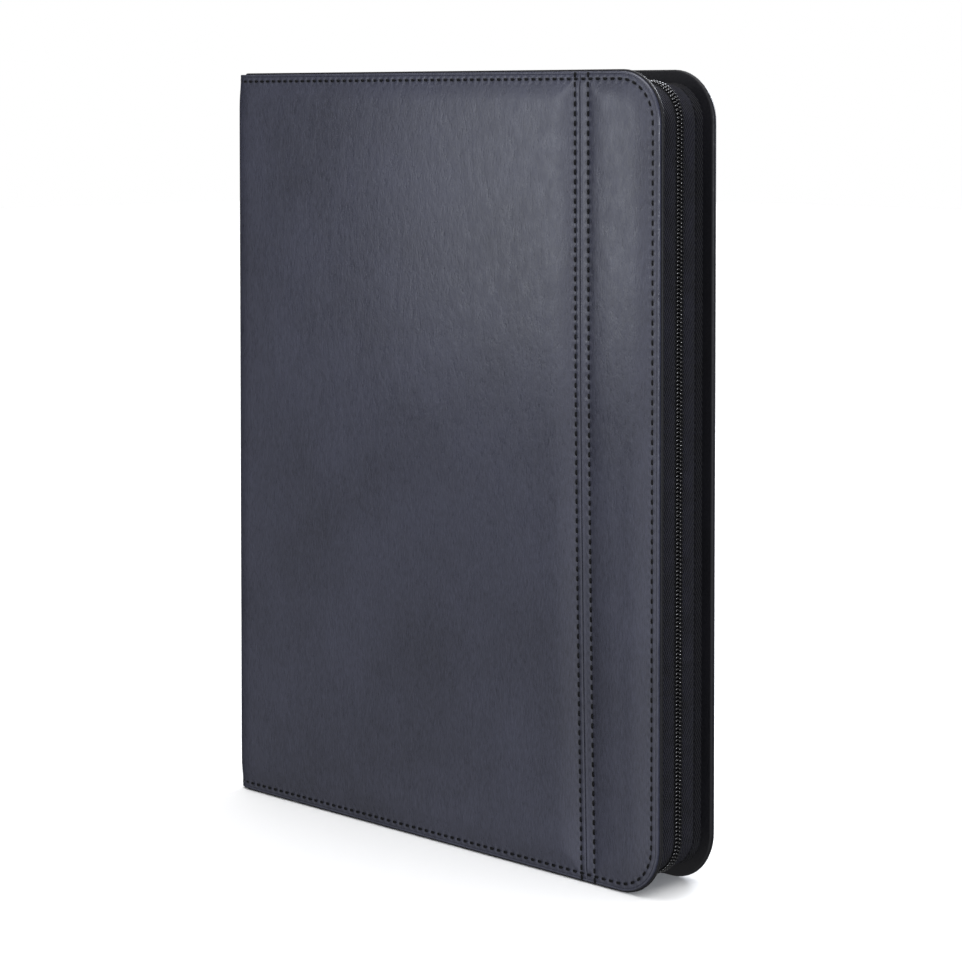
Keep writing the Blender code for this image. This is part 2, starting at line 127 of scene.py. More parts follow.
class StitchSettings(bpy.types.PropertyGroup):
    inset: length("Inset", "Stitch line's distance from the cover's edge", 3.95 * MM)
    pitch: length("Pitch", "Distance from stitch to stitch", 4.12 * MM)
    dash: length("Stitch length", "Length of one stitch", 2.35 * MM)
    thread: length("Thread", "Width of the thread", 1.25 * MM)
    seam_left: length("Seam line left", "Topstitch line on the main panel's side", 2.9 * MM)
    seam_right: length("Seam line right", "Topstitch line on the fore-edge side", 4.5 * MM)
    from_spine: length("Start", "Where edge stitches start, from the spine fold", 6.0 * MM)
    thread_colour: colour("Thread colour", "Colour of the thread", (0.0012, 0.0012, 0.002))


class ZipSettings(bpy.types.PropertyGroup):
    pitch: length("Element pitch", "Distance from coil element to coil element", 1.66 * MM)
    half_length: length("Element half length", "Half of an element, across the chain", 1.25 * MM)
    half_width: length("Element half width", "Half of an element, along the chain", 0.60 * MM)
    half_height: length("Element half height", "Half of an element, off the tape", 0.72 * MM)
    centre: length("Element centre", "Middle of an element from the chain's middle", 1.2 * MM)
    tape: length("Tape", "Thickness of the tape", 0.6 * MM)
    tape_bow: length("Tape bow", "How far the tape bows outwards", 0.5 * MM)
    sewn_line: length("Sewn line", "Line that sews the tape down, from the middle", 10.9 * MM)
    flare: length("Flare", "How far the tape's sewn edge stands out at the cover", 0.5 * MM)
    tape_colour: colour("Tape colour", "Colour of the woven tape", (0.0040, 0.0040, 0.0072))
    coil_colour: colour("Coil colour", "Colour of the nylon coil", (0.0012, 0.0012, 0.0022))


class LeafSettings(bpy.types.PropertyGroup):
    columns: IntProperty(name="Pocket columns", description="Pockets across", default=3, min=1)
    rows: IntProperty(name="Pocket rows", description="Pockets up the leaf", default=3, min=1)
    binding: length("Binding", "Punched strip beside the rings", 19 * MM)
    weld: length("Weld", "Width of a weld between pockets", 1.6 * MM)
    film: length("Film rise", "How far the pocket film stands off the backing", 0.13 * MM)
    film_colour: colour("Film colour", "Colour of the black-backed film", (0.012, 0.012, 0.014))


class StageSettings(bpy.types.PropertyGroup):
    camera_place: FloatVectorProperty(
        name="Camera",
        description="Where the camera stands",
        default=(0.8507, -0.8528, 0.3313),
        subtype="TRANSLATION",
    )
    camera_turn: FloatProperty(
        name="Turn",
        description="Camera's turn about Z",
        default=math.radians(44.516),
        subtype="ANGLE",
    )
    camera_dip: FloatProperty(
        name="Dip", description="Camera's tilt down", default=math.radians(2.103), subtype="ANGLE"
    )
    lens: FloatProperty(name="Lens", description="Focal length", default=100.32, unit="CAMERA")
    shift: FloatProperty(name="Shift", description="Vertical lens shift", default=-0.2916)
    floor_colour: colour("Floor", "Colour of the floor", (0.86, 0.86, 0.86))


def settings():
    return bpy.context.scene.binder_looks


class BinderLooks(bpy.types.PropertyGroup):
    cover: PointerProperty(type=CoverSettings, name="Covers", description="Leather covers")
    stitch: PointerProperty(type=StitchSettings, name="Stitching", description="Stitch lines")
    zip: PointerProperty(type=ZipSettings, name="Zip", description="Tape and coil")
    leaf: PointerProperty(type=LeafSettings, name="Leaves", description="Pocket leaves")
    stage: PointerProperty(type=StageSettings, name="Stage", description="Camera, floor, light")


# ---- Materials ----
def add(tree, kind, values=None, **options):
    """A node with its options, and its inputs set to a value or linked to a socket."""
    node = tree.nodes.new(kind)
    for option, value in options.items():
        setattr(node, option, value)
    for key, value in (values or {}).items():
        if isinstance(value, bpy.types.NodeSocket):
            tree.links.new(value, node.inputs[key])
        else:
            node.inputs[key].default_value = value
    return node


def maths(tree, operation, first, second=0.0):
    return add(tree, "ShaderNodeMath", {0: first, 1: second}, operation=operation).outputs[0]


def mixed(tree, first, share, second, other_share):
    """The sum of two patterns, each times its share."""
    part = maths(tree, "MULTIPLY", first, share)
    return maths(tree, "ADD", part, maths(tree, "MULTIPLY", second, other_share))


def base_material(name, specular=0.5, roughness=0.5, metallic=0.0):
    made = bpy.data.materials.new(name)
    made.use_nodes = True
    shader = made.node_tree.nodes["Principled BSDF"]
    shader.inputs["Roughness"].default_value = roughness
    shader.inputs["Specular IOR Level"].default_value = specular
    shader.inputs["Metallic"].default_value = metallic
    return made, made.node_tree


def with_patterns(made, shade, rough=None, normal=None):
    """Links a finish's patterns to its shader, and gives the finish back."""
    tree = made.node_tree
    shader = tree.nodes["Principled BSDF"]
    for socket, pattern in (("Base Color", shade), ("Roughness", rough), ("Normal", normal)):
        if pattern is not None:
            tree.links.new(pattern, shader.inputs[socket])
    return made


def object_point(tree, scale=(1.0, 1.0, 1.0)):
    coordinates = add(tree, "ShaderNodeTexCoord").outputs["Object"]
    return add(tree, "ShaderNodeMapping", {"Vector": coordinates, "Scale": scale}).outputs[0]


def map_parts(tree, name):
    """The two coordinates of a UV map, which are lengths along and away from a line."""
    place = add(tree, "ShaderNodeUVMap", uv_map=name).outputs[0]
    return add(tree, "ShaderNodeSeparateXYZ", {0: place}).outputs


def speckle(tree, point, scale, detail=3.0, rough=0.55):
    """A noise pattern, with this many repeats in a metre."""
    values = {"Vector": point, "Scale": scale, "Detail": detail, "Roughness": rough}
    return add(tree, "ShaderNodeTexNoise", values).outputs["Fac"]


def between(tree, factor, first, second):
    """A colour that runs with the factor from the first, which may be a pattern, to the second."""
    if not isinstance(first, bpy.types.NodeSocket):
        first = (*first, 1.0)
    ends = {"Factor": factor, 6: first, 7: (*second, 1.0)}
    return add(tree, "ShaderNodeMix", ends, data_type="RGBA").outputs[2]


def stretch(tree, factor, low, high, to_low=0.0, to_high=1.0):
    """The factor's run from low to high, made to run between two other values."""
    values = {0: factor, 1: low, 2: high, 3: to_low, 4: to_high}
    return add(tree, "ShaderNodeMapRange", values).outputs[0]


def raise_by(tree, height, depth, under=None):
    """A bump of this depth in metres, on top of another bump."""
    values = {"Height": height, "Strength": 1.0, "Distance": depth}
    if under:
        values["Normal"] = under
    return add(tree, "ShaderNodeBump", values).outputs[0]


def scaled(shade, factor):
    return tuple(min(channel * factor, 1.0) for channel in shade)


def stitch_marks(tree, count, away):
    """(dark, pucker) masks at a stitch line, from the count of stitches and the distance to it.
    The dark mask is painted shade in the stitch holes.
    """
    phase = maths(tree, "COSINE", maths(tree, "MULTIPLY", count, 2 * math.pi))
    pulled = stretch(tree, away, 0.3 * MM, 2.2 * MM, 1.0, 0.0)
    sunk = stretch(tree, away, 0.45 * MM, 0.85 * MM, 1.0, 0.0)
    dark = maths(tree, "MULTIPLY", sunk, stretch(tree, phase, -0.5, 0.35, 0.0, 1.0))
    return dark, maths(tree, "MULTIPLY", phase, pulled)


def leather_finish():
    """Soft leather: fine upright brushed grain, soft mottling, puckers along the stitches, and
    painted shade in the stitch holes.
    """
    cover, stitch = settings().cover, settings().stitch
    made, tree = base_material("padded_leather")
    streak = speckle(tree, object_point(tree, (1600.0, 1600.0, 340.0)), 1.0, 4.0, 0.6)
    pebble = speckle(tree, object_point(tree, (900.0, 900.0, 620.0)), 1.0, 3.0, 0.5)
    crease = speckle(tree, object_point(tree, (230.0, 230.0, 130.0)), 1.0, 4.0, 0.6)
    cloud = speckle(tree, object_point(tree), 16.0, 4.0, 0.6)
    tone = mixed(tree, streak, 0.55, cloud, 0.45)
    shade = between(
        tree,
        stretch(tree, tone, 0.35, 0.65),
        scaled(cover.leather_colour, 0.7),
        scaled(cover.leather_colour, 1.35),
    )
    edge, seam = map_parts(tree, "edge"), map_parts(tree, "seam")
    away = maths(tree, "ABSOLUTE", maths(tree, "SUBTRACT", edge[1], stitch.inset))
    dark, pucker = stitch_marks(tree, edge[0], away)
    for offset in (-stitch.seam_left, stitch.seam_right):
        away = maths(tree, "ABSOLUTE", maths(tree, "SUBTRACT", seam[1], offset))
        more_dark, more_pucker = stitch_marks(tree, seam[0], away)
        dark = maths(tree, "MAXIMUM", dark, more_dark)
        pucker = maths(tree, "ADD", pucker, more_pucker)
    # Painted shade: the leather is darkened to near black in the stitch holes, where the thread
    # sinks in.
    shade = between(tree, maths(tree, "MULTIPLY", dark, 0.95), shade, (0.001, 0.001, 0.002))
    matt = stretch(tree, dark, 0.0, 1.0, 0.0, 0.5)
    rough = stretch(tree, maths(tree, "ADD", crease, streak), 0.75, 1.25, 0.24, 0.44)
    normal = raise_by(tree, maths(tree, "MULTIPLY", pucker, -1.0), 0.14 * MM)
    normal = raise_by(tree, crease, 0.22 * MM, normal)
    normal = raise_by(tree, pebble, 0.06 * MM, normal)
    normal = raise_by(tree, streak, 0.09 * MM, normal)
    return with_patterns(made, shade, maths(tree, "ADD", rough, matt), normal)


def lining_finish():
    """Black grained lining on the inner covers."""
    made, tree = base_material("lining_black", specular=0.28)
    base = settings().cover.lining_colour
    grain = speckle(tree, object_point(tree), 1300.0, 3.0)
    patch = speckle(tree, object_point(tree), 30.0, 2.0)
    tone = mixed(tree, grain, 0.6, patch, 0.4)
    shade = between(tree, stretch(tree, tone, 0.35, 0.65), scaled(base, 0.7), scaled(base, 1.5))
    rough = stretch(tree, grain, 0.3, 0.7, 0.42, 0.6)
    return with_patterns(made, shade, rough, raise_by(tree, grain, 0.10 * MM))


def thread_finish():
    """Twisted black sewing thread."""
    made, tree = base_material("sewing_thread", specular=0.14, roughness=0.6)
    twist = add(
        tree,
        "ShaderNodeTexWave",
        {"Vector": object_point(tree, (1.0, 1.0, 0.7)), "Scale": 520.0, "Distortion": 1.5},
        bands_direction="DIAGONAL",
    ).outputs["Fac"]
    base = settings().stitch.thread_colour
    shade = between(tree, twist, scaled(base, 0.6), scaled(base, 1.6))
    return with_patterns(made, shade, normal=raise_by(tree, twist, 0.08 * MM))


def tape_finish():
    """Woven twill: steep diagonal ribs along the tape, with a slight fuzz. Its colour carries
    painted light and shade: lighter rib tops, darker grooves, and a painted shadow past the sewn
    line.
    """
    made, tree = base_material("twill_tape", specular=0.1, roughness=0.8)
    shader = tree.nodes["Principled BSDF"]
    shader.inputs["Sheen Weight"].default_value = 0.04
    shader.inputs["Sheen Roughness"].default_value = 0.5
    rib_along, rib_across, pick_pitch = 2.7 * MM, 1.15 * MM, 0.42 * MM
    run, reach = map_parts(tree, "edge")[:2]
    along = maths(tree, "MULTIPLY", run, 2 * math.pi / rib_along)
    across = maths(tree, "MULTIPLY", reach, 2 * math.pi / rib_across)
    rib = maths(tree, "SINE", maths(tree, "SUBTRACT", along, across))
    pick = maths(tree, "SINE", maths(tree, "MULTIPLY", run, 2 * math.pi / pick_pitch))
    fuzz = speckle(tree, object_point(tree), 2600.0, 2.0)
    patch = speckle(tree, object_point(tree), 160.0, 3.0)
    height = maths(tree, "ADD", rib, maths(tree, "MULTIPLY", pick, 0.35))
    height = maths(tree, "ADD", height, maths(tree, "MULTIPLY", fuzz, 1.2))
    base = settings().zip.tape_colour
    patchy = maths(tree, "SUBTRACT", patch, 0.5)
    # Painted light and shade: the colour follows the ribs' height, lighter on rib tops and fuzz
    # and darker in the grooves, with random patchy tone added.
    tone = maths(tree, "ADD", stretch(tree, height, -1.0, 2.2), patchy)
    shade = between(tree, tone, scaled(base, 0.05), scaled(base, 3.6))
    line = settings().zip.sewn_line
    away = maths(tree, "ABSOLUTE", reach)
    # Painted shadow: past its sewn line, where the cover overhangs it, the tape is darkened to
    # near black.
    shadow_past_sewn_line = maths(tree, "MULTIPLY", stretch(tree, away, line - 0.5 * MM, line + 0.6 * MM), 0.6)
    shade = between(tree, shadow_past_sewn_line, shade, (0.0002, 0.0002, 0.0004))
    return with_patterns(made, shade, normal=raise_by(tree, height, 0.22 * MM))


def coil_finish():
    """Glossy black nylon."""
    made, tree = base_material("nylon_coil", specular=0.75)
    haze = speckle(tree, object_point(tree), 420.0, 2.0)
    base = settings().zip.coil_colour
    shade = between(tree, haze, scaled(base, 0.6), scaled(base, 1.7))
    return with_patterns(made, shade, stretch(tree, haze, 0.3, 0.7, 0.12, 0.24))


def metal_finish(name, shade, roughness, stretched=(1.0, 1.0, 1.0)):
    """Plated metal with faint drawn lines and a few duller patches."""
    made, tree = base_material(name, metallic=1.0)
    drawn = speckle(tree, object_point(tree, stretched), 900.0, 2.0)
    dull = speckle(tree, object_point(tree), 70.0, 3.0)
    tone = between(tree, dull, scaled(shade, 0.86), shade)
    blend = maths(tree, "ADD", drawn, dull)
    rough = stretch(tree, blend, 0.7, 1.3, roughness * 0.8, roughness * 1.35)
    return with_patterns(made, tone, rough, raise_by(tree, drawn, 0.004 * MM))


def film_finish(name, shade, roughness):
    """Plastic film with a slight orange-peel surface and faint scuffs."""
    made, tree = base_material(name)
    peel = speckle(tree, object_point(tree), 330.0, 2.0)
    scuff = speckle(tree, object_point(tree, (1.0, 1.0, 0.3)), 90.0, 4.0, 0.7)
    tone = between(tree, scuff, scaled(shade, 0.7), scaled(shade, 1.4))
    rough = stretch(tree, scuff, 0.3, 0.7, roughness * 0.7, roughness * 1.5)
    return with_patterns(made, tone, rough, raise_by(tree, peel, 0.06 * MM))


def floor_finish():
    """Plain matt white."""
    made, tree = base_material("pale_floor", specular=0.2, roughness=0.7)
    base = settings().stage.floor_colour
    faint = speckle(tree, object_point(tree), 6.0, 2.0)
    return with_patterns(made, between(tree, faint, scaled(base, 0.985), base))


MAKERS = {
    "leather": leather_finish,
    "lining": lining_finish,
    "thread": thread_finish,
    "tape": tape_finish,
    "coil": coil_finish,
    "nickel": lambda: metal_finish("nickel_plate", (0.70, 0.70, 0.72), 0.16),
    "steel": lambda: metal_finish("plated_steel", (0.60, 0.60, 0.62), 0.30, (1.0, 1.0, 0.05)),
    "black_metal": lambda: metal_finish("black_slider_metal", (0.055, 0.055, 0.06), 0.3),
    "film": lambda: film_finish("pocket_film", settings().leaf.film_colour, 0.2),
    "backing": lambda: film_finish("page_backing", settings().leaf.film_colour, 0.38),
    "floor": floor_finish,
}
# Each finish, made once, by its name.
made_finishes = {}


def finish_of(name):
    if name not in made_finishes:
        made_finishes[name] = MAKERS[name]()
    return made_finishes[name]


# ---- Mesh helpers ----
def to_object(name, shape, finish, sharp=None):
    """Turns a bmesh into an object at the origin, shaded smooth up to the sharp angle."""
    mesh = bpy.data.meshes.new(name)
    shape.to_mesh(mesh)
    shape.free()
    mesh.materials.append(finish_of(finish))
    mesh.shade_smooth()
    if sharp is not None:
        mesh.set_sharp_from_angle(angle=math.radians(sharp))
    made = bpy.data.objects.new(name, mesh)
    bpy.context.scene.collection.objects.link(made)
    return made


def mapped_grid(columns, rows, place):
    """A grid with one vertex line for each column and row, put where place says.

    place gives each vertex's outer side, its inner side and its place on the UV maps.
    """
    shape = bmesh.new()
    bmesh.ops.create_grid(shape, x_segments=len(columns) - 1, y_segments=len(rows) - 1, size=1.0)
    low = Vector(min(vert.co[axis] for vert in shape.verts) for axis in range(2))
    high = Vector(max(vert.co[axis] for vert in shape.verts) for axis in range(2))
    layers = [shape.loops.layers.uv.new(name) for name in ("edge", "seam")]
    inside = shape.verts.layers.float_vector.new("inside")
    spots = {}
    for vert in shape.verts:
        i = round((vert.co.x - low.x) / (high.x - low.x) * (len(columns) - 1))
        j = round((vert.co.y - low.y) / (high.y - low.y) * (len(rows) - 1))
        outer, inner, spot = place(columns[i], rows[j])
        vert.co = outer
        vert[inside] = inner
        spots[vert] = spot
    for face in shape.faces:
        for loop in face.loops:
            for layer, place_on_it in zip(layers, spots[loop.vert]):
                loop[layer].uv = place_on_it
    return shape


def close_inwards(shape):
    """Gives an open sheet its inner side, whose places were kept with its vertices."""
    inside = shape.verts.layers.float_vector["inside"]
    made = bmesh.ops.extrude_face_region(shape, geom=shape.faces[:])
    for item in made["geom"]:
        if isinstance(item, bmesh.types.BMVert):
            item.co = item[inside]
    bmesh.ops.recalc_face_normals(shape, faces=shape.faces)


def slab(outline, low, high, low_round, high_round, segments=4):
    """A flat XZ outline from low to high along Y, with a rounded rim at each end."""
    shape = bmesh.new()
    corners = [shape.verts.new((x, low, z)) for x, z in outline]
    face = bmesh.ops.contextual_create(shape, geom=corners)["faces"][0]
    made = bmesh.ops.extrude_face_region(shape, geom=[face])
    top = [item for item in made["geom"] if isinstance(item, bmesh.types.BMVert)]
    bmesh.ops.translate(shape, vec=(0, high - low, 0), verts=top)
    bmesh.ops.recalc_face_normals(shape, faces=shape.faces)
    for level, width in ((low, low_round), (high, high_round)):
        rim = [edge for edge in shape.edges if all(abs(v.co.y - level) < 1e-7 for v in edge.verts)]
        round_off(shape, rim, width, segments)
    return shape


def round_off(shape, edges, width, segments):
    options = {"profile": 0.5, "affect": "EDGES", "material": -1}
    bmesh.ops.bevel(shape, geom=edges, offset=width, segments=segments, **options)


def block(low, high, roundness, segments):
    shape = bmesh.new()
    bmesh.ops.create_cube(shape, size=1.0)
    size = [b - a for a, b in zip(low, high)]
    bmesh.ops.scale(shape, vec=size, verts=shape.verts)
    bmesh.ops.translate(shape, vec=[(a + b) / 2 for a, b in zip(low, high)], verts=shape.verts)
    round_off(shape, shape.edges[:], roundness, segments)
    return shape


def beads(spots, sizes, segments=8, rings=5):
    """Ellipsoids, one for each (place, along, up): half sizes run along, across and up."""
    shape = bmesh.new()
    bmesh.ops.create_uvsphere(shape, u_segments=segments, v_segments=rings, radius=1.0)
    bmesh.ops.scale(shape, vec=(sizes[1], sizes[2], sizes[0]), verts=shape.verts)
    one = bpy.data.meshes.new("bead")
    shape.to_mesh(one)
    shape.clear()
    for place, along, up in spots:
        along, up = Vector(along).normalized(), Vector(up).normalized()
        turn = Matrix((up.cross(along), up, along)).transposed().to_4x4()
        whole = Matrix.Translation(place) @ turn
        one.transform(whole)
        shape.from_mesh(one)
        one.transform(whole.inverted())
    bpy.data.meshes.remove(one)
    return shape


def profile(points):
    """A function that runs straight from one (place, depth) point in millimetres to the next."""

    def depth(place):
        place /= MM
        if place <= points[0][0]:
            return points[0][1] * MM
        for (x0, y0), (x1, y1) in zip(points, points[1:]):
            if place <= x1:
                t = (place - x0) / (x1 - x0)
                return (y0 + (y1 - y0) * t) * MM
        return points[-1][1] * MM

    return depth


def spread(start, stop, step):
    """Evenly spaced places from start to stop, at most a step apart."""
    count = max(1, math.ceil(abs(stop - start) / step))
    return [start + (stop - start) * i / count for i in range(count + 1)]


# ---- Path round the open edges ----
class EdgePath:
    """The way round the top, fore-edge and bottom, at a distance inside the cover's outline."""

    def __init__(self, offset, start_x):
        self.radius = settings().cover.fore_radius
        self.offset = offset
        self.start_x = start_x
        self.bend = self.radius - offset
        self.straight = FORE_X - self.radius - start_x
        self.quarter = self.bend * math.pi / 2
        self.side = HEIGHT - 2 * self.radius
        self.total = 2 * self.straight + 2 * self.quarter + self.side

    def at(self, run):
        """(anchor, outward) in XZ for a distance along the path."""
        near, far = self.radius, HEIGHT - self.radius
        corner_x = FORE_X - self.radius
        if run <= self.straight:
            return Vector((self.start_x + run, far)), Vector((0, 1))
        run -= self.straight
        if run <= self.quarter:
            angle = math.pi / 2 - run / self.bend
            return Vector((corner_x, far)), Vector((math.cos(angle), math.sin(angle)))
        run -= self.quarter
        if run <= self.side:
            return Vector((corner_x, far - run)), Vector((1, 0))
        run -= self.side
        if run <= self.quarter:
            angle = -run / self.bend
            return Vector((corner_x, near)), Vector((math.cos(angle), math.sin(angle)))
        run -= self.quarter
        return Vector((corner_x - run, near)), Vector((0, -1))

    def point(self, run, y, offset=None):
        anchor, out = self.at(run)
        spot = anchor + out * (self.radius - (self.offset if offset is None else offset))
        return Vector((spot.x, y, spot.y))

    def frame_at(self, run):
        """(along, outward) as directions in space."""
        out = self.at(run)[1]
        return Vector((out.y, 0, -out.x)), Vector((out.x, 0, out.y))

    def stations(self, step):
        count = round(self.total / step)
        return [self.total * i / count for i in range(count + 1)]

    def run_of(self, x, z):
        """The distance along the path of the path's point nearest to a place."""
        corner_x = FORE_X - self.radius
        top, bottom = HEIGHT - self.radius, self.radius
        if x > corner_x and z > top:
            angle = math.atan2(z - top, x - corner_x)
            return self.straight + (math.pi / 2 - angle) * self.bend
        if x > corner_x and z < bottom:
            angle = math.atan2(z - bottom, x - corner_x)
            return self.straight + self.quarter + self.side - angle * self.bend
        if FORE_X - x < min(z, HEIGHT - z):
            return self.straight + self.quarter + top - z
        return x - self.start_x if z > MID_Z else self.total - (x - self.start_x)


def edge_path(offset, start_x=None):
    """An EdgePath that starts beside the spine, unless another place is given."""
    return EdgePath(offset, SPINE_INNER_X + SPINE_GAP if start_x is None else start_x)


# ---- Leather ----
# How far the leather lies below the padded face, by its distance from the edge and from the seam.
EDGE_DEPTH = profile(
    [(0.7, 2.9), (0.78, 2.0), (0.95, 1.62), (1.2, 1.44), (1.5, 1.4), (1.72, 1.44), (1.9, 1.62)]
    + [(2.08, 1.45), (2.5, 1.36), (3.3, 1.2), (3.6, 1.24), (3.95, 1.5), (4.3, 1.38), (5.0, 1.2)]
    + [(6.2, 0.92), (8.0, 0.5), (10.5, 0.0), (13.0, -0.35), (17.0, -0.58), (24.0, -0.68)]
)
SEAM_DEPTH = profile(
    [(-18.0, -0.66), (-13.0, -0.46), (-10.0, -0.12), (-7.5, 0.3), (-5.5, 0.74), (-3.9, 1.12)]
    + [(-2.9, 1.4), (-2.3, 1.12), (-1.6, 0.94), (-0.7, 0.86), (-0.3, 1.0), (0.0, 1.75)]
    + [(0.35, 0.95), (0.7, 0.8), (1.1, 0.98), (1.9, 1.1), (3.4, 1.14), (4.0, 1.24), (4.5, 1.48)]
    + [(5.1, 1.24), (6.2, 0.94), (8.0, 0.46), (10.5, 0.02), (14.0, -0.36), (18.0, -0.62)]
)
# Where the leather's mesh has lines: millimetres from the edge, and from the seam.
EDGE_LINES = (0.7, 0.78, 0.95, 1.2, 1.5, 1.72, 1.9, 2.08, 2.5, 2.9, 3.3, 3.6, 3.95, 4.3, 4.6)
EDGE_LINES += (5.0, 5.6, 6.2, 7.0, 8.0, 9.2, 10.5, 11.7, 13.0, 15.0, 17.0, 20.0, 24.0)
SEAM_LINES = (-18, -15.5, -13, -11.5, -10, -8.7, -7.5, -6.5, -5.5, -4.7, -3.9, -3.4, -2.9, -2.6)
SEAM_LINES += (-2.3, -1.6, -0.7, -0.3, -0.12, 0, 0.12, 0.35, 0.7, 1.1, 1.9, 3.4, 4, 4.25, 4.5)
SEAM_LINES += (4.8, 5.1, 5.6, 6.2, 7, 8, 9.2, 10.5, 12.2, 14, 16, 18)


def deeper(first, second, blend=0.45 * MM):
    """The deeper of two depths, with a soft change from one to the other."""
    share = min(1.0, max(0.0, 0.5 + 0.5 * (first - second) / blend))
    return second + (first - second) * share + blend * share * (1 - share) * 0.6


def seam_x(z):
    """The seam's place at a height: it drifts towards the fore-edge on the way down."""
    cover = settings().cover
    return FORE_X - cover.seam_from_edge + cover.seam_lean * (1 - z / HEIGHT) ** 2


def wave(x, z, side):
    """Slow unevenness of a stretched, padded panel, with a smaller, quicker one on it."""
    slow_height, quick_height = 0.16 * MM, 0.05 * MM
    slow = noise.noise(Vector((x * 11.0, z * 7.0, 3.1 * side)))
    quick = noise.noise(Vector((x * 34.0, z * 19.0, 7.7 * side)))
    return slow_height * slow + quick_height * quick


def leather_sheet(side, with_seam):
    """One cover's outer leather, from its flap on the spine, over the roll, to its fore-edge."""
    cover = settings().cover
    path, step = stitch_path()
    first, second = seam_stations()[:2]
    reach = FORE_X - SPINE_X - cover.edge_show
    roll, bend = cover.roll_width, cover.roll_depth
    radius = cover.fore_radius - cover.edge_show
    seam = seam_x(HEIGHT) - SPINE_X
    lean_in = profile([(-60.0, 0.0), (-16.0, 1.0), (16.0, 1.0), (34.0, 0.0)])
    roll_steps, panel_step, fore_step = 12, 2.6 * MM, 2.4 * MM
    flat_rim, fade_width, sag = 5 * MM, 14 * MM, 0.12 * MM
    roll_thickness, roll_ease = 1.3 * MM, 0.9
    tuck_depth, tuck_reach = 0.4 * MM, 1.5 * MM

    inner_lines = [reach + cover.edge_show - line * MM for line in EDGE_LINES]
    columns = [-(cover.flap_reach - bend), -(cover.flap_reach - bend) / 2]
    columns += [("roll", i / roll_steps) for i in range(roll_steps)]
    if with_seam:
        seam_columns = [seam + line * MM for line in SEAM_LINES]
        columns += spread(roll, seam_columns[0], panel_step)[:-1] + seam_columns
        columns += spread(seam_columns[-1], inner_lines[-1], fore_step)[1:]
    else:
        columns += spread(roll, inner_lines[-1], panel_step)
    columns += inner_lines[::-1][1:]
    edge_rows = [line * MM for line in EDGE_LINES]
    rows = edge_rows + spread(edge_rows[-1], HEIGHT - edge_rows[-1], panel_step)[1:-1]
    rows += [HEIGHT - line for line in edge_rows[::-1]]

    def on_profile(column):
        """(x from the fold, depth from the face, outward x, outward y) of the smooth profile."""
        if isinstance(column, tuple):
            turn = column[1] * math.pi / 2
            out = Vector((-math.cos(turn) / roll, -math.sin(turn) / bend)).normalized()
            return roll - roll * math.cos(turn), bend - bend * math.sin(turn), out.x, out.y
        if column < 0:
            return 0.0, bend - column, -1.0, 0.0
        return column, 0.0, 0.0, -1.0

    def place(column, z):
        """The sheet's two sides and its stitch coordinates, where two of its lines cross."""
        x, depth, out_x, out_y = on_profile(column)
        from_seam = x - seam
        if with_seam:
            x += (seam_x(z) - seam_x(HEIGHT)) * lean_in(from_seam) / MM
        inset = min(z, HEIGHT - z)
        shown_z = z
        centre_x = reach - radius
        if x > centre_x and inset < radius + cover.edge_show:
            u = x - centre_x
            v = radius + cover.edge_show - inset
            shrink = max(u, v) / math.hypot(u, v)
            d = cover.edge_show + radius - max(u, v)
            x = centre_x + u * shrink
            toward = radius + cover.edge_show - v * shrink
            shown_z = toward if z < MID_Z else HEIGHT - toward
        else:
            d = min(inset, reach + cover.edge_show - x)
        sunk = EDGE_DEPTH(d)
        if with_seam:
            sunk = deeper(sunk, SEAM_DEPTH(from_seam))
        fade = min(1.0, max(0.0, (d - flat_rim) / fade_width))
        sunk += (wave(x, shown_z, side) + sag) * fade
        sunk = min(sunk, cover.leather_edge) * (1.0 + roll_ease * out_x)
        spot_x, spot_depth = x - out_x * sunk, depth - out_y * sunk
        thick = roll_thickness + min(1.0, x / roll) * (cover.leather_back - roll_thickness)
        tuck = tuck_depth * max(0.0, 1 - (d - cover.edge_show) / tuck_reach)
        if out_y <= -0.999:
            back_x, back_depth = x, cover.leather_back
        else:
            back_x, back_depth = x - out_x * thick, depth - out_y * thick
        back_z = shown_z + (tuck if z < MID_Z else -tuck)
        y = side * (FACE_Y - spot_depth)
        back_y = side * (FACE_Y - back_depth)
        outer = Vector((SPINE_X + spot_x, y, shown_z))
        inner = Vector((SPINE_X + back_x - (tuck if x > centre_x else 0.0), back_y, back_z))
        count = (shown_z - first) / (second - first)
        marks = (path.run_of(SPINE_X + x, shown_z) / step, d)
        return outer, inner, (marks, (count, from_seam if with_seam else 1.0))

    shape = mapped_grid(columns, rows, place)
    close_inwards(shape)
    return shape


def blend_at_fold(piece):
    """Bakes a piece's placement into its mesh."""
    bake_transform(piece)


class BINDER_OT_leather(bpy.types.Operator):
    """Makes the padded leather of both covers and the spine."""

    bl_idname = "binder.leather"
    bl_label = "Leather"

    def execute(self, context):
        replaced = {
            "front": ("front_skin_main", "front_skin_fore", "front_foam"),
            "back": ("back_skin", "back_foam"),
        }
        for word, side, body in COVERS:
            piece = to_object(f"{word}_leather", leather_sheet(side, side < 0), "leather", 60)
            blend_at_fold(piece)
            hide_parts(*replaced[word])
        step = settings().cover.spine_step
        half = FACE_Y - settings().cover.flap_reach
        low = (SPINE_X + 0.05 * MM, -half, step)
        high = (SPINE_INNER_X - SPINE_GAP, half, HEIGHT - step)
        shape = block(low, high, 1.2 * MM, 4)
        shape.loops.layers.uv.new("edge")
        piece = to_object("spine_leather", shape, "leather", 50)
        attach(piece, "spine")
        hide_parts("spine_skin", "spine_board")
        return {"FINISHED"}


